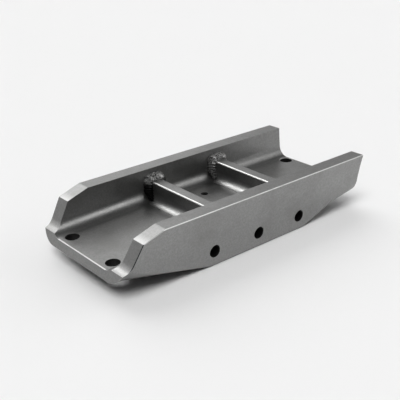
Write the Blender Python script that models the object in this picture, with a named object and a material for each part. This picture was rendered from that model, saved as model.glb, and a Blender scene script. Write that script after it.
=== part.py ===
# Excavator track guide shoe: a channel-shaped cast body on a sled-like underside,
# with two cross ribs set between its walls and welded to them at their ends.
# Metres, +Z up. X runs along the shoe and the cut-back nose is at -X.
# The underside rests on Z = 0, and Y = 0 is the plane between the two walls.

from math import acos, cos, pi, radians, sin, sqrt, tan

import bmesh
import bpy
from mathutils import Vector

# Overall body
LENGTH = 0.600
WIDTH = 0.266
BASE_THICKNESS = 0.021
KEEL_DEPTH = 0.031
WALL_HEIGHT = 0.062
WALL_TOP_WIDTH = 0.0304
OUTER_LEAN = radians(5.7)
INNER_LEAN = radians(4.9)
FOOT_FILLET = 0.024

# Underside: rounded lower corners at the ends run out into the deep middle
NOSE_CORNER = 0.042
TAIL_CORNER = 0.026
KEEL_CORNER = 0.003
NOSE_CORNER_START = 0.015
NOSE_TAPER_START = 0.0785
NOSE_TAPER_END = 0.197
TAIL_TAPER_START = 0.437
TAIL_TAPER_END = 0.520
TAIL_CORNER_END = 0.590

# The tail's upright corners are rounded low down, and the rounding dies out up the walls
TAIL_ROUND = 0.012
TAIL_ROUND_FADE = 0.041

# The nose's end face leans back, and the floor drops a little towards it
NOSE_LEAN_REACH = 0.0072
NOSE_LEAN_FADE = 0.045
NOSE_FLOOR_DROP = 0.0050
NOSE_FLOOR_RUN = 0.200

# Nose cut of the walls: a lip, a hollow foot, a steep cut and a shallow bevel
NOSE_LIP_RISE = 0.0003
NOSE_LIP_ANGLE = radians(12.0)
NOSE_CUT_ANGLE = radians(60.0)
NOSE_CUT_FILLET = 0.030
NOSE_CUT_TOP_RISE = 0.0480
NOSE_BEVEL_END = 0.0915

# Bolt holes in the floor
BOLT_HOLE_RADIUS = 0.0135
BOLT_HOLE_SPREAD = 0.064
NOSE_BOLT_HOLE_INSET = 0.0285
TAIL_BOLT_HOLE_INSET = 0.016

# Small hole between the ribs
DRAIN_HOLE_RADIUS = 0.006
DRAIN_HOLE_X = 0.025
DRAIN_HOLE_Y = 0.044

# Blind side holes
SIDE_HOLE_RADIUS = 0.012
SIDE_HOLE_DEPTH = 0.055
SIDE_HOLE_COUNT = 3
SIDE_HOLE_PITCH = 0.109
SIDE_HOLE_MIDDLE = 0.013
SIDE_HOLE_HEIGHT = 0.030

# Cross ribs
RIB_THICKNESS = 0.025
RIB_HEIGHT = 0.039
RIB_TOP_ROUND = 0.004
RIB_FOOT_FILLET = 0.020
RIB_TOE = 0.0008
RIB_MIDDLE = 0.024
RIB_PITCH = 0.166

# Weld beads at the ends of the ribs
BEAD_RADIUS = 0.0115
BEAD_RIPPLE = 0.0009
BEAD_RIPPLE_LENGTH = 0.0062
BEAD_FOOT_CLEARANCE = 0.009
BEAD_ROOT = 0.003

# Clearance between touching pieces, least step between the body's sections, roundness of curves
SEAT_GAP = 0.0003
STATION_STEP = 0.0012
ARC_STEPS = 7
TAIL_ROUND_STEPS = 4
HOLE_SIDES = 32

FLOOR = KEEL_DEPTH + BASE_THICKNESS
TOP = FLOOR + WALL_HEIGHT
RIB_TOP = FLOOR + RIB_HEIGHT
NOSE = -LENGTH / 2
TAIL = LENGTH / 2


def clear_scene():
    for item in list(bpy.data.objects):
        bpy.data.objects.remove(item, do_unlink=True)


def make_material(name, colour, roughness, metallic):
    material = bpy.data.materials.new(name)
    material.use_nodes = True
    shader = material.node_tree.nodes["Principled BSDF"]
    shader.inputs["Base Color"].default_value = (*colour, 1.0)
    shader.inputs["Roughness"].default_value = roughness
    shader.inputs["Metallic"].default_value = metallic
    return material


def add_object(name, bm, material=None):
    bmesh.ops.recalc_face_normals(bm, faces=bm.faces)
    mesh = bpy.data.meshes.new(name)
    bm.to_mesh(mesh)
    bm.free()
    item = bpy.data.objects.new(name, mesh)
    bpy.context.scene.collection.objects.link(item)
    if material:
        mesh.materials.append(material)
    return item


def bridge_rings(bm, rings, closed_ends=True):
    for near, far in zip(rings, rings[1:]):
        count = len(near)
        for k in range(count):
            following = (k + 1) % count
            bm.faces.new((near[k], near[following], far[following], far[k]))
    if closed_ends:
        bm.faces.new(rings[0])
        bm.faces.new(rings[-1])


def cut(target, cutter, operation="DIFFERENCE"):
    cutter.hide_render = True
    cutter.display_type = "WIRE"
    boolean = target.modifiers.new(cutter.name, "BOOLEAN")
    boolean.operation = operation
    boolean.solver = "EXACT"
    boolean.object = cutter


def blend(value, start, end):
    return min(max((value - start) / (end - start), 0.0), 1.0)


def nose_cut():
    # Centre of the hollow foot, its end, and where the steep cut meets the bevel
    centre_x = NOSE_LEAN_REACH - NOSE_CUT_FILLET * sin(NOSE_LIP_ANGLE)
    centre_z = FLOOR + NOSE_LIP_RISE + NOSE_CUT_FILLET * cos(NOSE_LIP_ANGLE)
    hollow_end = centre_x + NOSE_CUT_FILLET * sin(NOSE_CUT_ANGLE)
    hollow_top = centre_z - NOSE_CUT_FILLET * cos(NOSE_CUT_ANGLE)
    cut_end = hollow_end + (FLOOR + NOSE_CUT_TOP_RISE - hollow_top) / tan(NOSE_CUT_ANGLE)
    return centre_x, centre_z, hollow_end, cut_end


def lean_shift(along, z):
    # How far back a point of a section lies from its station, at the leaning nose
    share = blend(z, KEEL_DEPTH, FLOOR) * (1.0 - blend(along, 0.0, NOSE_LEAN_FADE))
    return NOSE_LEAN_REACH * share


def station_of(x):
    # The station whose points above the floor lie at a true distance from the nose
    if x >= NOSE_LEAN_FADE:
        return x
    return (x - NOSE_LEAN_REACH) / (1.0 - NOSE_LEAN_REACH / NOSE_LEAN_FADE)


def wall_top(along):
    # Height of the walls at a station, along the nose cut
    centre_x, centre_z, hollow_end, cut_end = nose_cut()
    x = along + lean_shift(along, TOP)
    if x <= hollow_end:
        return centre_z - sqrt(NOSE_CUT_FILLET ** 2 - (x - centre_x) ** 2)
    cut_top = FLOOR + NOSE_CUT_TOP_RISE
    if x <= cut_end:
        return cut_top - (cut_end - x) * tan(NOSE_CUT_ANGLE)
    return cut_top + (TOP - cut_top) * blend(x, cut_end, NOSE_BEVEL_END)


def floor_height(along):
    return FLOOR - NOSE_FLOOR_DROP * (1.0 - blend(along, 0.0, NOSE_FLOOR_RUN))


def underside(along):
    # Height of the flat underside at a distance from the nose
    nose_rise = 1.0 - blend(along, NOSE_TAPER_START, NOSE_TAPER_END)
    tail_rise = blend(along, TAIL_TAPER_START, TAIL_TAPER_END)
    return KEEL_DEPTH * max(nose_rise, tail_rise)


def lower_corner(along):
    # Radius of the lower outer corners at a distance from the nose
    nose_share = 1.0 - blend(along, NOSE_CORNER_START, NOSE_TAPER_START)
    tail_share = blend(along, TAIL_TAPER_END, TAIL_CORNER_END)
    grown = nose_share * (NOSE_CORNER - KEEL_CORNER) + tail_share * (TAIL_CORNER - KEEL_CORNER)
    return KEEL_CORNER + grown


def corner_draw(along, z):
    # How far the outer face draws in at the tail's upright corners, at a height
    radius = TAIL_ROUND * (1.0 - blend(z, FLOOR, FLOOR + TAIL_ROUND_FADE))
    depth = max(radius - (LENGTH - along), 0.0)
    return radius - sqrt(radius ** 2 - depth ** 2)


def stations():
    # Distances from the nose at which the body has a cross-section
    centre_x, centre_z, hollow_end, cut_end = nose_cut()
    steps = [NOSE_CORNER_START, NOSE_TAPER_START, NOSE_TAPER_END, NOSE_LEAN_FADE, NOSE_BEVEL_END]
    steps += [TAIL_TAPER_START, TAIL_TAPER_END, (TAIL_TAPER_END + TAIL_CORNER_END) / 2, TAIL_CORNER_END]
    for k in range(1, ARC_STEPS + 1):
        angle = NOSE_LIP_ANGLE + (NOSE_CUT_ANGLE - NOSE_LIP_ANGLE) * k / ARC_STEPS
        steps.append(station_of(centre_x + NOSE_CUT_FILLET * sin(angle)))
    for share in (1 / 3, 2 / 3, 1):
        steps.append(station_of(hollow_end + (cut_end - hollow_end) * share))
    steps.append((2 * cut_end + NOSE_BEVEL_END) / 3)
    for k in range(1, TAIL_ROUND_STEPS + 1):
        steps.append(LENGTH - TAIL_ROUND * (1.0 - cos(pi / 2 * k / TAIL_ROUND_STEPS)))
    kept = [0.0]
    for step in sorted(steps):
        if step - kept[-1] > STATION_STEP and LENGTH - step > STATION_STEP:
            kept.append(step)
    return kept + [LENGTH]


def outer_half(along):
    # Outer face of one wall from the underside up, as distances from Y = 0
    low, high, radius = underside(along), wall_top(along), lower_corner(along)
    centre_z = low + radius
    wall_at_centre = WIDTH / 2 - (TOP - centre_z) * tan(OUTER_LEAN)
    centre_y = wall_at_centre - radius / cos(OUTER_LEAN)
    sweep = pi / 2 - OUTER_LEAN
    if high < centre_z:
        sweep = min(sweep, 0.9 * acos((centre_z - high) / radius))
    points = []
    for k in range(ARC_STEPS + 1):
        angle = sweep * k / ARC_STEPS
        points.append((centre_y + radius * sin(angle), centre_z - radius * cos(angle)))
    if high < centre_z - radius * sin(OUTER_LEAN):
        edge = centre_y + sqrt(radius ** 2 - (centre_z - high) ** 2)
    else:
        edge = WIDTH / 2 - (TOP - high) * tan(OUTER_LEAN)
    points.append((edge, high))
    return [(y - corner_draw(along, z), z) for y, z in points]


def inner_half(high, floor, gap=0.0):
    # Inner face of one wall from its top down to the floor, drawn in by a gap
    radius = FOOT_FILLET - gap
    centre_z = floor + FOOT_FILLET
    face = WIDTH / 2 - WALL_TOP_WIDTH - gap / cos(INNER_LEAN)
    centre_y = face - (TOP - centre_z) * tan(INNER_LEAN) - radius / cos(INNER_LEAN)
    sweep = pi / 2 - INNER_LEAN
    if high < centre_z:
        sweep = min(sweep, 0.9 * acos((centre_z - high) / radius))
    if high < centre_z - radius * sin(INNER_LEAN):
        edge = centre_y + sqrt(radius ** 2 - (centre_z - high) ** 2)
    else:
        edge = face - (TOP - high) * tan(INNER_LEAN)
    points = [(edge, high)]
    for k in range(ARC_STEPS, -1, -1):
        angle = sweep * k / ARC_STEPS
        points.append((centre_y + radius * sin(angle), centre_z - radius * cos(angle)))
    return points


def mirrored_ring(bm, along, half):
    near = [bm.verts.new((NOSE + along + lean_shift(along, z), -y, z)) for y, z in half]
    far = [bm.verts.new((NOSE + along + lean_shift(along, z), y, z)) for y, z in reversed(half)]
    return near + far


def make_body(material):
    bm = bmesh.new()
    rings = []
    for along in stations():
        half = outer_half(along) + inner_half(wall_top(along), floor_height(along))
        rings.append(mirrored_ring(bm, along, half))
    bridge_rings(bm, rings)
    return add_object("channel_body", bm, material)


def make_channel_space(name, gap):
    # The room between the walls and above the level floor, drawn in by a gap
    bm = bmesh.new()
    high = TOP + BASE_THICKNESS
    half = inner_half(high, FLOOR, gap)
    rings = [mirrored_ring(bm, along, half) for along in (-FOOT_FILLET, LENGTH + FOOT_FILLET)]
    bridge_rings(bm, rings)
    return add_object(name, bm)


def make_drill(name, place, direction, radius, depth):
    bm = bmesh.new()
    size = {"radius1": radius, "radius2": radius, "depth": 2 * depth}
    bmesh.ops.create_cone(bm, cap_ends=True, segments=HOLE_SIDES, **size)
    turn = Vector((0, 0, 1)).rotation_difference(Vector(direction))
    bmesh.ops.rotate(bm, verts=bm.verts, matrix=turn.to_matrix(), cent=(0, 0, 0))
    drill = add_object(name, bm)
    drill.location = place
    return drill


def drill_floor(body):
    rows = (("nose", NOSE + NOSE_BOLT_HOLE_INSET), ("tail", TAIL - TAIL_BOLT_HOLE_INSET))
    for end, x in rows:
        for side, sign in (("near", -1), ("far", 1)):
            place = (x, sign * BOLT_HOLE_SPREAD, FLOOR)
            name = "bolt_drill_" + end + "_" + side
            cut(body, make_drill(name, place, (0, 0, 1), BOLT_HOLE_RADIUS, 2 * BASE_THICKNESS))
    place = (DRAIN_HOLE_X, DRAIN_HOLE_Y, FLOOR)
    cut(body, make_drill("drain_drill", place, (0, 0, 1), DRAIN_HOLE_RADIUS, 2 * FLOOR))


def drill_sides(body):
    face = WIDTH / 2 - (TOP - SIDE_HOLE_HEIGHT) * tan(OUTER_LEAN)
    for k in range(SIDE_HOLE_COUNT):
        x = SIDE_HOLE_MIDDLE + (k - (SIDE_HOLE_COUNT - 1) / 2) * SIDE_HOLE_PITCH
        for side, sign in (("near", -1), ("far", 1)):
            place = (x, sign * face, SIDE_HOLE_HEIGHT)
            name = "side_drill_" + side + "_" + str(k)
            cut(body, make_drill(name, place, (0, 1, 0), SIDE_HOLE_RADIUS, SIDE_HOLE_DEPTH))


def rib_outline(grow=0.0):
    # Half of a rib's section, from its toe up to the middle of its top, as (distance, height)
    side = RIB_THICKNESS / 2 + grow
    hollow = RIB_FOOT_FILLET - grow
    foot = FLOOR + SEAT_GAP
    centre_x = side + hollow
    centre_z = foot + RIB_FOOT_FILLET
    start = acos((RIB_FOOT_FILLET - RIB_TOE) / hollow)
    points = [(centre_x - hollow * sin(start), foot - grow)]
    for k in range(ARC_STEPS + 1):
        angle = start + (pi / 2 - start) * k / ARC_STEPS
        points.append((centre_x - hollow * sin(angle), centre_z - hollow * cos(angle)))
    top_round = RIB_TOP_ROUND + grow
    for k in range(ARC_STEPS // 2 + 1):
        angle = pi / 2 * k / (ARC_STEPS // 2)
        across = side - top_round + top_round * cos(angle)
        points.append((across, RIB_TOP - RIB_TOP_ROUND + top_round * sin(angle)))
    return points


def make_rib_solid(name, x, grow=0.0, material=None):
    # A bar right across the channel, to be trimmed to the room between the walls
    bm = bmesh.new()
    half = rib_outline(grow)
    section = [(-across, z) for across, z in half] + [(across, z) for across, z in reversed(half)]
    rings = []
    for y in (-WIDTH / 2, WIDTH / 2):
        rings.append([bm.verts.new((x + across, y, z)) for across, z in section])
    bridge_rings(bm, rings)
    return add_object(name, bm, material)


def bead_path(x, sign):
    # Up one corner between rib and wall, over the rib's top and down the other corner
    def wall_face(z):
        return sign * (WIDTH / 2 - WALL_TOP_WIDTH - (TOP - z) * tan(INNER_LEAN))

    low = FLOOR + BEAD_FOOT_CLEARANCE
    side = RIB_THICKNESS / 2
    corner = RIB_TOP_ROUND
    path = []
    rise = RIB_TOP - corner - low
    count = round(rise / BEAD_RIPPLE_LENGTH * 4)
    for k in range(count):
        z = low + rise * k / count
        path.append(Vector((-side, 0, z)))
    for k in range(5):
        angle = pi / 2 * k / 4
        across = -side + corner - corner * cos(angle)
        path.append(Vector((across, 0, RIB_TOP - corner + corner * sin(angle))))
    half_top = side - corner
    count = max(2, round(half_top / BEAD_RIPPLE_LENGTH * 4))
    for k in range(1, count + 1):
        path.append(Vector((-half_top + half_top * k / count, 0, RIB_TOP)))
    path += [Vector((-p.x, 0, p.z)) for p in reversed(path[:-1])]
    return [Vector((x + p.x, wall_face(p.z), p.z)) for p in path]


def make_bead(name, x, sign, material):
    # A rippled rod along the corner line; the rib and the wall trim it to a bead
    path = bead_path(x, sign)
    inward = Vector((0, -sign, 0))
    bm = bmesh.new()
    rings = []
    travelled = 0.0
    for k, centre in enumerate(path):
        before = path[max(k - 1, 0)]
        after = path[min(k + 1, len(path) - 1)]
        travelled += (centre - before).length
        forward = (after - before).normalized()
        outward = Vector((-forward.z, 0, forward.x)).normalized()
        wave = sin(2 * pi * travelled / BEAD_RIPPLE_LENGTH)
        radius = BEAD_RADIUS - BEAD_RIPPLE * (1 - wave) / 2
        ring = []
        for step in range(2 * ARC_STEPS):
            angle = pi * (step + 0.5) / ARC_STEPS
            reach_out = radius if cos(angle) > 0 else BEAD_ROOT
            reach_in = radius if sin(angle) > 0 else BEAD_ROOT
            shift = reach_out * cos(angle) * outward + reach_in * sin(angle) * inward
            ring.append(bm.verts.new(centre + shift))
        rings.append(ring)
    bridge_rings(bm, rings)
    return add_object(name, bm, material)


def main():
    clear_scene()
    cast_steel = make_material("blasted_cast_steel", (0.20, 0.20, 0.195), 0.46, 0.85)
    rib_steel = make_material("blasted_rib_steel", (0.21, 0.21, 0.205), 0.44, 0.85)
    weld_metal = make_material("weld_metal", (0.15, 0.15, 0.145), 0.52, 0.8)

    body = make_body(cast_steel)
    drill_floor(body)
    drill_sides(body)

    space = make_channel_space("channel_space", SEAT_GAP)
    for end, shift in (("nose", -0.5), ("tail", 0.5)):
        x = RIB_MIDDLE + shift * RIB_PITCH
        rib = make_rib_solid(end + "_rib", x, 0.0, rib_steel)
        cut(rib, space, "INTERSECT")
        room = make_rib_solid(end + "_rib_room", x, SEAT_GAP)
        for side, sign in (("near", -1), ("far", 1)):
            bead = make_bead(end + "_weld_" + side, x, sign, weld_metal)
            cut(bead, space, "INTERSECT")
            cut(bead, room)


main()
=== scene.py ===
from math import acos, cos, pi, radians, sin, sqrt, tan

import bmesh
import bpy
from mathutils import Euler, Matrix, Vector, noise


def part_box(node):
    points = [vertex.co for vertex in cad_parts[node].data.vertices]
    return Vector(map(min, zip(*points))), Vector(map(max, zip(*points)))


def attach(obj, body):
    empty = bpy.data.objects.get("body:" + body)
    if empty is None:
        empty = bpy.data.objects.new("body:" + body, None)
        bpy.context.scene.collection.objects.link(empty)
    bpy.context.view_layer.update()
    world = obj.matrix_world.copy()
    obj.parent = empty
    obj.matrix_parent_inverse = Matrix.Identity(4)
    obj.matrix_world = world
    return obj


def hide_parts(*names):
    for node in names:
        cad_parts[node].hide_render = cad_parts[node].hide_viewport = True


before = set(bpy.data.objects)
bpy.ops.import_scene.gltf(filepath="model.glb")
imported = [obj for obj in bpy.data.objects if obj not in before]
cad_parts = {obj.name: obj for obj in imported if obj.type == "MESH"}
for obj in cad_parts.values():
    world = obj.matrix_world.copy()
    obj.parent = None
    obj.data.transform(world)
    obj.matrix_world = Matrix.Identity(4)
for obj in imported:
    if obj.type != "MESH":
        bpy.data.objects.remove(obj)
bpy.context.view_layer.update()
bodyLow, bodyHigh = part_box("channel_body")
print("frame loaded")

# camera, measured from the photograph's edges
photoCamera = {
    "place": (-0.8500, -0.9782, 0.6353),
    "turn": (66.064, 0.851, -40.545),
    "lens": 65.485,
    "sensor": 36.0,
    "nearest": 0.01,
}


def addCamera():
    data = bpy.data.cameras.new("photoCamera")
    data.lens = photoCamera["lens"]
    data.sensor_width = photoCamera["sensor"]
    data.clip_start = photoCamera["nearest"]
    camera = bpy.data.objects.new("photoCamera", data)
    camera.location = photoCamera["place"]
    camera.rotation_euler = Euler([radians(a) for a in photoCamera["turn"]])
    bpy.context.scene.collection.objects.link(camera)
    bpy.context.scene.camera = camera


addCamera()
print("camera placed")

# node helpers


def addNode(tree, kind, settings=None, **inputs):
    node = tree.nodes.new(kind)
    for name, value in (settings or {}).items():
        setattr(node, name, value)
    for name, value in inputs.items():
        socket = node.inputs[name.replace("_", " ")]
        if isinstance(value, bpy.types.NodeSocket):
            tree.links.new(value, socket)
        else:
            socket.default_value = value
    return node


def newMaterial(name):
    material = bpy.data.materials.new(name)
    material.use_nodes = True
    tree = material.node_tree
    shader = tree.nodes["Principled BSDF"]
    place = addNode(tree, "ShaderNodeTexCoord").outputs["Object"]
    return material, tree, shader, place


def mixColours(tree, factor, first, second):
    mixer = addNode(tree, "ShaderNodeMix", {"data_type": "RGBA"})
    for number, value in ((0, factor), (6, first), (7, second)):
        if isinstance(value, bpy.types.NodeSocket):
            tree.links.new(value, mixer.inputs[number])
        else:
            mixer.inputs[number].default_value = (*value, 1.0)
    return mixer.outputs[2]


def stretch(tree, value, low, high, to=(0.0, 1.0)):
    return addNode(
        tree,
        "ShaderNodeMapRange",
        {"clamp": True},
        Value=value,
        From_Min=low,
        From_Max=high,
        To_Min=to[0],
        To_Max=to[1],
    ).outputs["Result"]


def noiseAt(tree, place, texture):
    return addNode(
        tree,
        "ShaderNodeTexNoise",
        Vector=place,
        Scale=texture["scale"],
        Detail=texture["detail"],
        Roughness=texture["rough"],
    ).outputs["Fac"]


def combine(tree, operation, first, others):
    for other in others:
        node = addNode(tree, "ShaderNodeMath", {"operation": operation})
        tree.links.new(first, node.inputs[0])
        tree.links.new(other, node.inputs[1])
        first = node.outputs[0]
    return first


def product(tree, first, *others):
    return combine(tree, "MULTIPLY", first, others)


def brightest(tree, first, *others):
    return combine(tree, "MAXIMUM", first, others)


def magnitude(tree, value):
    node = addNode(tree, "ShaderNodeMath", {"operation": "ABSOLUTE"})
    tree.links.new(value, node.inputs[0])
    return node.outputs[0]


def alignment(tree, first, second):
    node = addNode(tree, "ShaderNodeVectorMath", {"operation": "DOT_PRODUCT"})
    tree.links.new(first, node.inputs[0])
    if isinstance(second, bpy.types.NodeSocket):
        tree.links.new(second, node.inputs[1])
    else:
        node.inputs[1].default_value = second
    return node.outputs["Value"]


def axesOf(tree, vector):
    return addNode(tree, "ShaderNodeSeparateXYZ", Vector=vector).outputs


def faceNormal(tree):
    return addNode(tree, "ShaderNodeNewGeometry").outputs["Normal"]


def addBump(tree, height, bump, **under):
    return addNode(
        tree, "ShaderNodeBump", Height=height, Strength=bump["strength"], Distance=bump["depth"], **under
    ).outputs["Normal"]


# where the steel is rubbed bright, lighter or dark; places are in metres on the shoe
outerTone = {"across": (0.1130, 0.1150), "facing": (0.80, 0.95)}


def outerSide(tree, place):
    # the shoe's outer sides are a tone lighter than its inside
    return product(
        tree,
        stretch(tree, magnitude(tree, axesOf(tree, place)["Y"]), *outerTone["across"]),
        stretch(tree, magnitude(tree, axesOf(tree, faceNormal(tree))["Y"]), *outerTone["facing"]),
    )


# painted highlights on the near wall's top edge, the nose floor's front edge and the bevels
wallHighlight = {
    "topAcross": (-0.1311, -0.1318),
    "topHeight": (0.1123, 0.1129),
    "floorAlong": (-0.2919, -0.2925),
    "floorAcross": (0.0760, 0.0740),
    "floorHeight": (0.0462, 0.0466),
    "floorLimit": (0.0500, 0.0495),
    "floorStrength": (0.0, 0.75),
    "bevelFacing": (0.85, 0.92),
    "bevelLimit": (0.0990, 0.0995),
    "bevelHeight": (0.1050, 0.1000),
    "bevelStrength": (0.0, 0.35),
}


def paintedWallHighlights(tree, place):
    # painted highlights: bright lines along the near wall's outer top edge and the front edge of the floor
    spot, glint = axesOf(tree, place), wallHighlight
    onWall = product(
        tree, stretch(tree, spot["Y"], *glint["topAcross"]), stretch(tree, spot["Z"], *glint["topHeight"])
    )
    onFloor = product(
        tree,
        stretch(tree, spot["X"], *glint["floorAlong"]),
        stretch(tree, magnitude(tree, spot["Y"]), *glint["floorAcross"]),
        stretch(tree, spot["Z"], *glint["floorHeight"]),
        stretch(tree, spot["Z"], *glint["floorLimit"], glint["floorStrength"]),
    )
    # painted highlight: the bevels are painted brighter down to their lower ends
    onBevel = product(
        tree,
        stretch(tree, axesOf(tree, faceNormal(tree))["Z"], *glint["bevelFacing"]),
        stretch(tree, spot["Z"], *glint["bevelLimit"]),
        stretch(tree, spot["Z"], *glint["bevelHeight"], glint["bevelStrength"]),
    )
    return brightest(tree, onWall, onFloor, onBevel)


# painted highlights on the rib tops
ribHighlight = {
    "roundStart": (0.30, 0.50),
    "roundEnd": (0.99, 0.93),
    "height": (0.0862, 0.0872),
    "strength": (0.0, 0.40),
}


def paintedRibHighlights(tree, place):
    # painted highlights: bright lines painted along the rounds of a rib's top
    upward = axesOf(tree, faceNormal(tree))["Z"]
    return product(
        tree,
        stretch(tree, upward, *ribHighlight["roundStart"]),
        stretch(tree, upward, *ribHighlight["roundEnd"]),
        stretch(tree, axesOf(tree, place)["Z"], *ribHighlight["height"], ribHighlight["strength"]),
    )


darkCut = {
    "colour": (0.020, 0.020, 0.020),
    "sideLean": radians(5.7),
    "across": (-0.1190, -0.1197),
    "facing": (-0.25, -0.40),
    "height": (0.055, 0.058),
}


def cutLine(tree, place):
    # the dark line down the outer edge of the near wall's steep end cut
    spot = axesOf(tree, place)
    upright = addNode(tree, "ShaderNodeMath", {"operation": "MULTIPLY_ADD"})
    tree.links.new(spot["Z"], upright.inputs[0])
    upright.inputs[1].default_value = tan(darkCut["sideLean"])
    tree.links.new(spot["Y"], upright.inputs[2])
    return product(
        tree,
        stretch(tree, upright.outputs[0], *darkCut["across"]),
        stretch(tree, axesOf(tree, faceNormal(tree))["X"], *darkCut["facing"]),
        stretch(tree, spot["Z"], *darkCut["height"]),
    )


faintEdge = {"radius": 0.0016, "samples": 6, "alike": (0.999, 0.90), "strength": (0.0, 0.20)}


def brightCorner(tree):
    # brighter where a rounded normal leaves the face normal, which is along the edges
    bevel = addNode(tree, "ShaderNodeBevel", {"samples": faintEdge["samples"]}, Radius=faintEdge["radius"])
    alike = alignment(tree, bevel.outputs["Normal"], faceNormal(tree))
    return stretch(tree, alike, *faintEdge["alike"], faintEdge["strength"])


# the finishes
steelFinish = {
    "shade": (0.158, 0.158, 0.156),
    "light": (0.284, 0.284, 0.280),
    "sideShade": (0.204, 0.204, 0.202),
    "sideLight": (0.358, 0.358, 0.354),
    "dull": (0.180, 0.178, 0.170),
    # colour of the painted highlights and of the brighter edges
    "highlightAndEdgeColour": (0.780, 0.780, 0.770),
    "fromFloor": (0.04, 0.04, 0.04),
    "metallic": (0.92, 0.25),
    "grain": {"scale": 900.0, "detail": 2.0, "rough": 0.55},
    "grainSpan": (0.25, 0.75, (0.5, 1.0)),
    "grainBump": {"strength": 0.6, "depth": 0.00006},
    "mottle": {"scale": 260.0, "detail": 3.0, "rough": 0.65},
    "mottleSpan": (0.30, 0.68, (0.45, 1.0)),
    "cast": {"scale": 38.0, "detail": 4.0, "rough": 0.5},
    "castBump": {"strength": 0.5, "depth": 0.00045},
    "highlightBreakup": (0.30, 0.60, (0.75, 1.0)),
    "roughness": (0.30, 0.72, (0.31, 0.41)),
    "patch": {"scale": 11.0, "detail": 3.0, "rough": 0.6},
    "dullSpan": (0.52, 0.74, (0.0, 0.45)),
}


def blastedSteel(name, paintedHighlights):
    finish = steelFinish
    material, tree, shader, place = newMaterial(name)
    grain, mottle = (noiseAt(tree, place, finish[key]) for key in ("grain", "mottle"))
    cast, patch = (noiseAt(tree, place, finish[key]) for key in ("cast", "patch"))
    speckle = product(
        tree, stretch(tree, grain, *finish["grainSpan"]), stretch(tree, mottle, *finish["mottleSpan"])
    )
    colour = mixColours(tree, speckle, finish["shade"], finish["light"])
    outer = mixColours(tree, speckle, finish["sideShade"], finish["sideLight"])
    colour = mixColours(tree, outerSide(tree, place), colour, outer)
    colour = mixColours(tree, stretch(tree, patch, *finish["dullSpan"]), colour, finish["dull"])
    # painted highlights, broken up by the cast noise, together with the brighter edges, take a light
    # colour and less metal
    brokenHighlight = product(tree, paintedHighlights(tree, place), stretch(tree, cast, *finish["highlightBreakup"]))
    highlightAndBrightEdges = brightest(tree, brokenHighlight, brightCorner(tree))
    colour = mixColours(tree, highlightAndBrightEdges, colour, finish["highlightAndEdgeColour"])
    colour = mixColours(tree, cutLine(tree, place), colour, darkCut["colour"])
    # matt surfaces see the steel dim, so that it throws no bright spots on the floor
    offFloor = addNode(tree, "ShaderNodeLightPath").outputs["Is Diffuse Ray"]
    colour = mixColours(tree, offFloor, colour, finish["fromFloor"])
    tree.links.new(colour, shader.inputs["Base Color"])
    tree.links.new(stretch(tree, highlightAndBrightEdges, 0.0, 1.0, finish["metallic"]), shader.inputs["Metallic"])
    tree.links.new(stretch(tree, cast, *finish["roughness"]), shader.inputs["Roughness"])
    swell = addBump(tree, cast, finish["castBump"])
    tree.links.new(addBump(tree, grain, finish["grainBump"], Normal=swell), shader.inputs["Normal"])
    return material


weldFinish = {
    "shade": (0.055, 0.055, 0.055),
    "light": (0.600, 0.600, 0.590),
    "scorched": (0.020, 0.020, 0.020),
    "legHeight": (0.093, 0.084),
    "legPlace": (0.030, 0.020),
    "metallic": 0.9,
    "lump": {"scale": 330.0, "detail": 4.0, "rough": 0.6},
    "lumpSpan": (0.36, 0.66),
    "lumpBump": {"strength": 0.8, "depth": 0.0012},
    "roughness": (0.3, 0.7, (0.46, 0.24)),
    "grain": {"scale": 1100.0, "detail": 2.0, "rough": 0.55},
    "grainBump": {"strength": 0.6, "depth": 0.00012},
}


def weldMetal(name):
    finish = weldFinish
    material, tree, shader, place = newMaterial(name)
    lump, grain = (noiseAt(tree, place, finish[key]) for key in ("lump", "grain"))
    colour = mixColours(tree, stretch(tree, lump, *finish["lumpSpan"]), finish["shade"], finish["light"])
    # the legs of the nose rib's welds are scorched nearly black
    spot = axesOf(tree, place)
    leg = product(
        tree, stretch(tree, spot["Z"], *finish["legHeight"]), stretch(tree, spot["X"], *finish["legPlace"])
    )
    colour = mixColours(tree, leg, colour, finish["scorched"])
    tree.links.new(colour, shader.inputs["Base Color"])
    shader.inputs["Metallic"].default_value = finish["metallic"]
    tree.links.new(stretch(tree, lump, *finish["roughness"]), shader.inputs["Roughness"])
    swell = addBump(tree, lump, finish["lumpBump"])
    tree.links.new(addBump(tree, grain, finish["grainBump"], Normal=swell), shader.inputs["Normal"])
    return material


boreFinish = {
    "shade": (0.010, 0.010, 0.010),
    "light": (0.030, 0.029, 0.028),
    "metallic": 0.6,
    "rings": {"scale": 700.0, "detail": 3.0, "rough": 0.55},
    "ringSpan": (0.3, 0.7),
    "ringBump": {"strength": 0.5, "depth": 0.0002},
    "roughness": (0.3, 0.7, (0.45, 0.65)),
}
rimFinish = {
    "shade": (0.26, 0.26, 0.26),
    "light": (0.42, 0.42, 0.41),
    "metallic": 0.6,
    "rings": {"scale": 500.0, "detail": 3.0, "rough": 0.55},
    "ringSpan": (0.35, 0.65),
    "ringBump": {"strength": 0.3, "depth": 0.0001},
    "roughness": (0.3, 0.7, (0.35, 0.50)),
}


def drilledSteel(name, finish):
    material, tree, shader, place = newMaterial(name)
    rings = noiseAt(tree, place, finish["rings"])
    colour = mixColours(tree, stretch(tree, rings, *finish["ringSpan"]), finish["shade"], finish["light"])
    tree.links.new(colour, shader.inputs["Base Color"])
    shader.inputs["Metallic"].default_value = finish["metallic"]
    tree.links.new(stretch(tree, rings, *finish["roughness"]), shader.inputs["Roughness"])
    tree.links.new(addBump(tree, rings, finish["ringBump"]), shader.inputs["Normal"])
    return material


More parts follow.
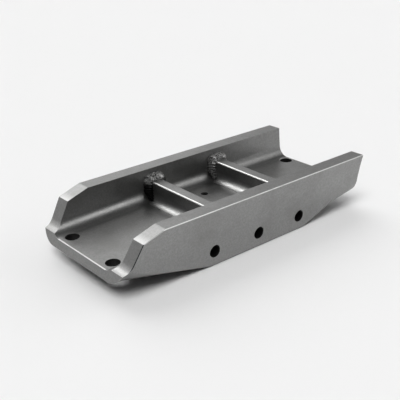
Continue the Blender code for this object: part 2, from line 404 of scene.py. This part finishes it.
castSteel = blastedSteel("blastedCastSteel", paintedWallHighlights)
ribSteel = blastedSteel("blastedRibSteel", paintedRibHighlights)
weldSteel = weldMetal("weldMetal")
boreSteel = drilledSteel("drilledBore", boreFinish)
rimSteel = drilledSteel("bareRim", rimFinish)
print("finishes mixed")

# mesh helpers
mesher = {"bodyCorner": radians(38), "beadCorner": radians(60), "leastEdge": 0.00001}


def newPiece(name, bm, materials, node=None):
    bmesh.ops.recalc_face_normals(bm, faces=bm.faces)
    mesh = bpy.data.meshes.new(name)
    bm.to_mesh(mesh)
    bm.free()
    piece = bpy.data.objects.new(name, mesh)
    bpy.context.scene.collection.objects.link(piece)
    for material in materials:
        mesh.materials.append(material)
    if node:
        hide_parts(node)
        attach(piece, "root")
    return piece


def joinRings(bm, rings):
    for near, far in zip(rings, rings[1:]):
        count = len(near)
        for k in range(count):
            following = (k + 1) % count
            bm.faces.new((near[k], near[following], far[following], far[k]))
    bm.faces.new(rings[0])
    bm.faces.new(rings[-1])


def settle(piece, sharpAngle):
    # what the modifiers give becomes the mesh, smooth apart from its real corners
    graph = bpy.context.evaluated_depsgraph_get()
    mesh = bpy.data.meshes.new_from_object(piece.evaluated_get(graph))
    piece.modifiers.clear()
    piece.data = mesh
    bm = bmesh.new()
    bm.from_mesh(mesh)
    bmesh.ops.dissolve_degenerate(bm, dist=mesher["leastEdge"], edges=bm.edges)
    for face in bm.faces:
        face.smooth = True
    for edge in bm.edges:
        edge.smooth = edge.is_manifold and edge.calc_face_angle(0.0) < sharpAngle
    bm.to_mesh(mesh)
    bm.free()
    weighted = piece.modifiers.new("evenShading", "WEIGHTED_NORMAL")
    weighted.keep_sharp = True


# the cast body
shoe = {
    "length": bodyHigh[0] - bodyLow[0],
    "width": bodyHigh[1] - bodyLow[1],
    "height": bodyHigh[2],
    "base": 0.021,
    "keelDrop": 0.031,
    "wallTop": 0.0304,
    "outerLean": radians(5.7),
    "innerLean": radians(4.9),
    "footFillet": 0.024,
    "noseCorner": 0.042,
    "tailCorner": 0.026,
    "keelCorner": 0.003,
    "noseCornerStart": 0.015,
    "noseTaper": (0.0785, 0.197),
    "tailTaper": (0.437, 0.520),
    "tailCornerEnd": 0.590,
    "tailRound": 0.012,
    "tailRoundFade": 0.041,
    "noseLean": 0.0072,
    "noseLeanFade": 0.045,
    "floorDrop": 0.0050,
    "floorRun": 0.200,
    "lipRise": 0.0003,
    "lipAngle": radians(12.0),
    "cutAngle": radians(60.0),
    "cutFillet": 0.030,
    "cutRise": 0.0480,
    "bevelEnd": 0.0915,
    "edgeRound": 0.0013,
    "roundSegments": 3,
    "roundLimit": radians(32),
}
shoe["floor"] = shoe["keelDrop"] + shoe["base"]

# how finely the body is cut into sections along its length and round its arcs
sections = {
    "arc": 14,
    "arcShare": 0.9,
    "hollow": 12,
    "cut": 6,
    "bevel": 4,
    "kinkSpan": 0.0020,
    "tailCorner": 5,
    "tailCornerPitch": 0.010,
    "tailRound": 8,
    "between": (0.12, 0.16, 0.25, 0.30, 0.35, 0.40, 0.47),
    "leastStep": 0.0009,
}


def share(value, start, end):
    return min(max((value - start) / (end - start), 0.0), 1.0)


def cutMarks():
    # the hollow foot's centre, where it ends, and where the steep cut meets the bevel
    radius, steep = shoe["cutFillet"], shoe["cutAngle"]
    centreX = shoe["noseLean"] - radius * sin(shoe["lipAngle"])
    centreZ = shoe["floor"] + shoe["lipRise"] + radius * cos(shoe["lipAngle"])
    hollowEnd = centreX + radius * sin(steep)
    hollowTop = centreZ - radius * cos(steep)
    cutEnd = hollowEnd + (shoe["floor"] + shoe["cutRise"] - hollowTop) / tan(steep)
    return centreX, centreZ, hollowEnd, cutEnd


def leanShift(along, z):
    # how far back a point lies from its station where the end face leans
    upward = share(z, shoe["keelDrop"], shoe["floor"])
    return shoe["noseLean"] * upward * (1.0 - share(along, 0.0, shoe["noseLeanFade"]))


def stationOf(x):
    if x >= shoe["noseLeanFade"]:
        return x
    return (x - shoe["noseLean"]) / (1.0 - shoe["noseLean"] / shoe["noseLeanFade"])


def wallHeight(along):
    centreX, centreZ, hollowEnd, cutEnd = cutMarks()
    x = along + leanShift(along, shoe["height"])
    if x <= hollowEnd:
        return centreZ - sqrt(shoe["cutFillet"] ** 2 - (x - centreX) ** 2)
    cutHeight = shoe["floor"] + shoe["cutRise"]
    if x <= cutEnd:
        return cutHeight - (cutEnd - x) * tan(shoe["cutAngle"])
    return cutHeight + (shoe["height"] - cutHeight) * share(x, cutEnd, shoe["bevelEnd"])


def floorHeight(along):
    return shoe["floor"] - shoe["floorDrop"] * (1.0 - share(along, 0.0, shoe["floorRun"]))


def undersideHeight(along):
    noseRise = 1.0 - share(along, *shoe["noseTaper"])
    tailRise = share(along, *shoe["tailTaper"])
    return shoe["keelDrop"] * max(noseRise, tailRise)


def cornerRadius(along):
    noseShare = 1.0 - share(along, shoe["noseCornerStart"], shoe["noseTaper"][0])
    tailShare = share(along, shoe["tailTaper"][1], shoe["tailCornerEnd"])
    keel = shoe["keelCorner"]
    return keel + noseShare * (shoe["noseCorner"] - keel) + tailShare * (shoe["tailCorner"] - keel)


def tailDraw(along, z):
    # how far the outer face draws in at the tail's upright corners
    radius = shoe["tailRound"] * (1.0 - share(z, shoe["floor"], shoe["floor"] + shoe["tailRoundFade"]))
    depth = max(radius - (shoe["length"] - along), 0.0)
    return radius - sqrt(radius**2 - depth**2)


def footCentre(face, lean, centreZ, radius):
    # the middle of an arc that runs into the face leaning in from its place at the wall's top
    return face - (shoe["height"] - centreZ) * tan(lean) - radius / cos(lean)


def wallProfile(face, lean, centreZ, radius, high):
    # the arc at a wall's foot and the point where the face above it meets the wall's height
    centreY = footCentre(face, lean, centreZ, radius)
    sweep = pi / 2 - lean
    if high < centreZ:
        sweep = min(sweep, sections["arcShare"] * acos((centreZ - high) / radius))
    angles = [sweep * k / sections["arc"] for k in range(sections["arc"] + 1)]
    points = [(centreY + radius * sin(angle), centreZ - radius * cos(angle)) for angle in angles]
    if high < centreZ - radius * sin(lean):
        return points + [(centreY + sqrt(radius**2 - (centreZ - high) ** 2), high)]
    return points + [(face - (shoe["height"] - high) * tan(lean), high)]


def outerFace(along):
    radius = cornerRadius(along)
    centreZ = undersideHeight(along) + radius
    points = wallProfile(shoe["width"] / 2, shoe["outerLean"], centreZ, radius, wallHeight(along))
    return [(y - tailDraw(along, z), z) for y, z in points]


def innerFace(along):
    radius = shoe["footFillet"]
    face = shoe["width"] / 2 - shoe["wallTop"]
    centreZ = floorHeight(along) + radius
    return wallProfile(face, shoe["innerLean"], centreZ, radius, wallHeight(along))[::-1]


def bodyStations():
    centreX, _, hollowEnd, cutEnd = cutMarks()
    lip, steep = shoe["lipAngle"], shoe["cutAngle"]
    angles = [lip + (steep - lip) * k / sections["hollow"] for k in range(1, sections["hollow"] + 1)]
    marks = [centreX + shoe["cutFillet"] * sin(angle) for angle in angles]
    marks += [hollowEnd + (cutEnd - hollowEnd) * k / sections["cut"] for k in range(1, sections["cut"])]
    steps = [stationOf(x) for x in marks]
    bevelRun = shoe["bevelEnd"] - cutEnd
    steps += [cutEnd + bevelRun * k / sections["bevel"] for k in range(1, sections["bevel"])]
    kinks = [cutEnd, shoe["noseLeanFade"], shoe["bevelEnd"], *shoe["noseTaper"], *shoe["tailTaper"]]
    for kink in kinks + [shoe["noseCornerStart"]]:
        steps += [kink - sections["kinkSpan"], kink, kink + sections["kinkSpan"]]
    for k in range(1, sections["tailCorner"] + 1):
        steps.append(shoe["tailTaper"][1] + sections["tailCornerPitch"] * k)
    for k in range(1, sections["tailRound"] + 1):
        steps.append(shoe["length"] - shoe["tailRound"] * (1 - cos(pi / 2 * k / sections["tailRound"])))
    steps += sections["between"]
    kept = [0.0]
    for step in sorted(steps):
        if step - kept[-1] > sections["leastStep"] and shoe["length"] - step > sections["leastStep"] / 2:
            kept.append(step)
    return kept + [shoe["length"]]


holes = {
    "boltRadius": 0.0135,
    "boltSpread": 0.064,
    "noseInset": 0.0285,
    "tailInset": 0.016,
    "drainRadius": 0.006,
    "drainPlace": (0.025, 0.044),
    "drainDepth": 0.08,
    "sideRadius": 0.012,
    "sideDepth": 0.055,
    "sidePitch": 0.109,
    "sideMiddle": 0.013,
    "sideHeight": 0.030,
    "mouth": 0.0011,
    "drainMouth": 0.0016,
    "proud": 0.010,
    "sides": 48,
}
boreFace, rimFace = 1, 2  # places of their finishes in the body's material list


def addBore(bm, place, axis, radius, depth, mouth, mouthFinish=rimFace):
    # a round cutter with a small countersink at the mouth; its own faces take the bore's finish
    wide = radius + mouth
    steps = [(holes["proud"], wide), (0.0, wide), (-mouth, radius), (-depth, radius)]
    turn = Vector((0, 0, 1)).rotation_difference(Vector(axis)).to_matrix()
    rings = []
    for height, size in steps:
        ring = []
        for k in range(holes["sides"]):
            angle = 2 * pi * k / holes["sides"]
            spot = turn @ Vector((size * cos(angle), size * sin(angle), height))
            ring.append(bm.verts.new(spot + Vector(place)))
        rings.append(ring)
    joinRings(bm, rings)
    bm.faces.ensure_lookup_table()
    made = holes["sides"] * (len(rings) - 1) + 2
    for face in bm.faces[-made:]:
        depths = [(turn.transposed() @ (v.co - Vector(place))).z for v in face.verts]
        if max(depths) < -mouth / 2:
            face.material_index = boreFace
        elif min(depths) < -mouth / 2:
            face.material_index = mouthFinish


def boreCutters():
    bm = bmesh.new()
    half = shoe["length"] / 2
    for x in (-half + holes["noseInset"], half - holes["tailInset"]):
        for side in (-1, 1):
            place = (x, side * holes["boltSpread"], shoe["floor"])
            addBore(bm, place, (0, 0, 1), holes["boltRadius"], 2 * shoe["base"], holes["mouth"])
    place = (*holes["drainPlace"], shoe["floor"])
    addBore(bm, place, (0, 0, 1), holes["drainRadius"], holes["drainDepth"], holes["drainMouth"], boreFace)
    face = shoe["width"] / 2 - (shoe["height"] - holes["sideHeight"]) * tan(shoe["outerLean"])
    for k in (-1, 0, 1):
        x = holes["sideMiddle"] + k * holes["sidePitch"]
        for side in (-1, 1):
            place = (x, side * face, holes["sideHeight"])
            addBore(bm, place, (0, side, 0), holes["sideRadius"], holes["sideDepth"], holes["mouth"])
    cutters = newPiece("boreCutters", bm, [castSteel, boreSteel, rimSteel])
    cutters.hide_render = True
    return cutters


def makeBody():
    bm = bmesh.new()
    rings = []
    for along in bodyStations():
        start = along - shoe["length"] / 2
        half = [(start + leanShift(along, z), y, z) for y, z in outerFace(along) + innerFace(along)]
        ring = [bm.verts.new((x, -y, z)) for x, y, z in half]
        ring += [bm.verts.new((x, y, z)) for x, y, z in reversed(half)]
        rings.append(ring)
    joinRings(bm, rings)
    body = newPiece("channelBody", bm, [castSteel, boreSteel, rimSteel], "channel_body")
    rounded = body.modifiers.new("edgeRound", "BEVEL")
    rounded.width = shoe["edgeRound"]
    rounded.segments = shoe["roundSegments"]
    rounded.limit_method = "ANGLE"
    rounded.angle_limit = shoe["roundLimit"]
    cutters = boreCutters()
    drilled = body.modifiers.new("bores", "BOOLEAN")
    drilled.operation = "DIFFERENCE"
    drilled.object = cutters
    settle(body, mesher["bodyCorner"])
    bpy.data.objects.remove(cutters, do_unlink=True)


makeBody()
print("body cast")

# the cross ribs
rib = {
    "middle": 0.024,
    "pitch": 0.166,
    "thick": 0.025,
    "rise": 0.039,
    "topRound": 0.004,
    "footFillet": 0.020,
    "toe": 0.0004,
    "sunk": 0.002,
    "reach": 0.105,
    "steps": 12,
    "lengths": 8,
}
ribTop = shoe["floor"] + rib["rise"]
ribPlaces = {"nose": rib["middle"] - rib["pitch"] / 2, "tail": rib["middle"] + rib["pitch"] / 2}


def ribSection():
    side, fillet = rib["thick"] / 2, rib["footFillet"]
    start = acos((fillet - rib["toe"]) / fillet)
    points = [(side + fillet - fillet * sin(start), shoe["floor"] - rib["sunk"])]
    for k in range(rib["steps"] + 1):
        angle = start + (pi / 2 - start) * k / rib["steps"]
        points.append((side + fillet - fillet * sin(angle), shoe["floor"] + fillet - fillet * cos(angle)))
    for k in range(rib["steps"] // 2 + 1):
        angle = pi / 2 * k / (rib["steps"] // 2)
        across = side - rib["topRound"] * (1 - cos(angle))
        points.append((across, ribTop - rib["topRound"] * (1 - sin(angle))))
    return points


def makeRib(name, node, x):
    bm = bmesh.new()
    half = ribSection()
    section = [(-across, z) for across, z in half] + [(across, z) for across, z in reversed(half)]
    rings = []
    for k in range(rib["lengths"] + 1):
        y = rib["reach"] * (2 * k / rib["lengths"] - 1)
        rings.append([bm.verts.new((x + across, y, z)) for across, z in section])
    joinRings(bm, rings)
    piece = newPiece(name, bm, [ribSteel], node)
    settle(piece, mesher["bodyCorner"])


for end, x in ribPlaces.items():
    makeRib(end + "Rib", end + "_rib", x)
print("ribs set")

# the weld beads
bead = {
    "radius": 0.0136,
    "root": 0.0030,
    "footSweep": radians(60),
    "step": 0.0007,
    "cornerSteps": 8,
    "ripple": 0.0055,
    "rippleDepth": 0.0017,
    "crescent": 0.0022,
    "lumpScale": 120.0,
    "lumpDepth": 0.0012,
    "endSize": 0.45,
    "endRings": 9,
    "sides": 28,
    "seeds": {"nose": 7.0, "tail": 11.0},
    "sideSeed": 3.0,
}


def wallFace(z):
    # how far out the wall's inner face is at a height, down round its foot fillet
    lean, radius = shoe["innerLean"], shoe["footFillet"]
    face = shoe["width"] / 2 - shoe["wallTop"]
    centreZ = shoe["floor"] + radius
    if z > centreZ - radius * sin(lean):
        return face - (shoe["height"] - z) * tan(lean)
    return footCentre(face, lean, centreZ, radius) + sqrt(radius**2 - (centreZ - z) ** 2)


def beadRoute():
    # up one corner, over the rib and down the other, as distances across the rib and heights
    side, corner, fillet = rib["thick"] / 2, rib["topRound"], rib["footFillet"]
    low = shoe["floor"] + fillet
    route = []
    count = round(fillet * bead["footSweep"] / bead["step"])
    for k in range(count):
        angle = bead["footSweep"] * (1 - k / count)
        route.append((-side - fillet * (1 - cos(angle)), low - fillet * sin(angle)))
    count = round((ribTop - corner - low) / bead["step"])
    for k in range(count):
        route.append((-side, low + (ribTop - corner - low) * k / count))
    for k in range(bead["cornerSteps"] + 1):
        angle = pi / 2 * k / bead["cornerSteps"]
        route.append((-side + corner * (1 - cos(angle)), ribTop - corner * (1 - sin(angle))))
    count = round((side - corner) / bead["step"])
    for k in range(1, count + 1):
        route.append((-(side - corner) * (1 - k / count), ribTop))
    return route + [(-across, z) for across, z in reversed(route[:-1])]


def makeBead(name, node, x, sign, seed):
    route = [Vector((x + across, sign * wallFace(z), z)) for across, z in beadRoute()]
    inward = Vector((0, -sign, 0))
    bm = bmesh.new()
    rings = []
    travelled = 0.0
    for k, centre in enumerate(route):
        before, after = route[max(k - 1, 0)], route[min(k + 1, len(route) - 1)]
        travelled += (centre - before).length
        forward = (after - before).normalized()
        outward = Vector((-forward.z, 0, forward.x)).normalized()
        endFade = min(1.0, bead["endSize"] + min(k, len(route) - 1 - k) / bead["endRings"])
        ring = []
        for step in range(bead["sides"]):
            angle = 2 * pi * (step + 0.5) / bead["sides"]
            lateral = abs(cos(angle) - sin(angle))
            phase = 2 * pi * (travelled + bead["crescent"] * lateral) / bead["ripple"]
            wave = (1 + sin(phase)) / 2
            reach = bead["radius"] - bead["rippleDepth"] * (1 - wave)
            shift = Vector((0, 0, 0))
            shift += (reach if cos(angle) > 0 else bead["root"]) * cos(angle) * outward
            shift += (reach if sin(angle) > 0 else bead["root"]) * sin(angle) * inward
            spot = centre + shift * endFade
            bump = noise.noise((spot + Vector((seed, 0, 0))) * bead["lumpScale"])
            spot += shift.normalized() * bump * bead["lumpDepth"]
            ring.append(bm.verts.new(spot))
        rings.append(ring)
    joinRings(bm, rings)
    piece = newPiece(name, bm, [weldSteel], node)
    settle(piece, mesher["beadCorner"])


for end, x in ribPlaces.items():
    for side, sign in (("near", -1), ("far", 1)):
        seed = bead["sideSeed"] * sign + bead["seeds"][end]
        makeBead(end + "Weld" + side.title(), end + "_weld_" + side, x, sign, seed)
print("welds laid")

# floor, background and lamps
studio = {
    "floorSize": 14.0,
    "floorColour": (0.87, 0.87, 0.87),
    "floorRoughness": 0.9,
    "backColour": (0.86, 0.86, 0.86),
    "overhead": (0.10, 0.10, 0.10),
    "overheadBand": (0.0, 0.45),
    "frontSide": (-0.65, -0.76, 0.0),
    "frontBand": (0.45, 0.90),
    "ambient": (0.12, 0.12, 0.12),
    "steelLamps": {
        "highBackLamp": {"towards": (-0.145, 0.540, 0.829), "spread": radians(28), "power": 1.32},
        "backLamp": {"towards": (0.027, 0.787, 0.616), "spread": radians(36), "power": 0.56},
        "backLeftLamp": {"towards": (-0.433, 0.750, 0.500), "spread": radians(30), "power": 0.31},
        "lowBackLamp": {"towards": (0.415, 0.780, 0.469), "spread": radians(28), "power": 0.17},
        "lowRightLamp": {"towards": (0.586, 0.586, 0.559), "spread": radians(34), "power": 0.11},
        "frontLamp": {"towards": (0.394, -0.682, 0.616), "spread": radians(30), "power": 0.58},
        "frontRightLamp": {"towards": (0.740, -0.270, 0.616), "spread": radians(30), "power": 0.21},
    },
    "floorLamps": {
        "rearLamp": {"towards": (0.25, 0.68, 0.69), "spread": radians(56), "power": 1.20},
        "topLamp": {"towards": (-0.405, -0.294, 0.866), "spread": radians(34), "power": 2.08},
        "rightLamp": {"towards": (0.930, -0.250, 0.270), "spread": radians(44), "power": 0.95},
    },
}


def makeFloor():
    bm = bmesh.new()
    bmesh.ops.create_grid(bm, x_segments=1, y_segments=1, size=studio["floorSize"] / 2)
    material, _, shader, _ = newMaterial("palePaper")
    shader.inputs["Roughness"].default_value = studio["floorRoughness"]
    shader.inputs["Specular IOR Level"].default_value = 0.0
    shader.inputs["Base Color"].default_value = (*studio["floorColour"], 1.0)
    newPiece("studioFloor", bm, [material])


def lightWorld():
    world = bpy.data.worlds.new("studioWorld")
    bpy.context.scene.world = world
    world.use_nodes = True
    tree = world.node_tree
    tree.nodes.clear()
    path = addNode(tree, "ShaderNodeLightPath").outputs
    bounced = brightest(tree, path["Is Glossy Ray"], path["Is Transmission Ray"])
    # reflections see the bright backdrop, a dim ceiling and the dim room in front
    heading = addNode(tree, "ShaderNodeTexCoord").outputs["Generated"]
    upward = stretch(tree, axesOf(tree, heading)["Z"], *studio["overheadBand"])
    frontward = stretch(tree, alignment(tree, heading, studio["frontSide"]), *studio["frontBand"])
    mirrored = mixColours(tree, upward, studio["backColour"], studio["overhead"])
    mirrored = mixColours(tree, frontward, mirrored, studio["overhead"])
    colour = mixColours(tree, bounced, studio["ambient"], mirrored)
    colour = mixColours(tree, path["Is Camera Ray"], colour, studio["backColour"])
    back = addNode(tree, "ShaderNodeBackground", Color=colour, Strength=1.0)
    out = addNode(tree, "ShaderNodeOutputWorld")
    tree.links.new(back.outputs[0], out.inputs[0])


def addLamp(name, lamp, mirrored):
    # a broad far lamp, which either shows in the steel or lights the floor
    data = bpy.data.lights.new(name, "SUN")
    data.energy = lamp["power"]
    data.angle = lamp["spread"]
    piece = bpy.data.objects.new(name, data)
    piece.rotation_euler = Vector(lamp["towards"]).to_track_quat("Z", "Y").to_euler()
    piece.visible_glossy = mirrored
    piece.visible_diffuse = not mirrored
    bpy.context.scene.collection.objects.link(piece)


makeFloor()
lightWorld()
for name, lamp in studio["steelLamps"].items():
    addLamp(name, lamp, mirrored=True)
for name, lamp in studio["floorLamps"].items():
    addLamp(name, lamp, mirrored=False)
bpy.context.scene.view_settings.view_transform = "Standard"
print("studio lit")
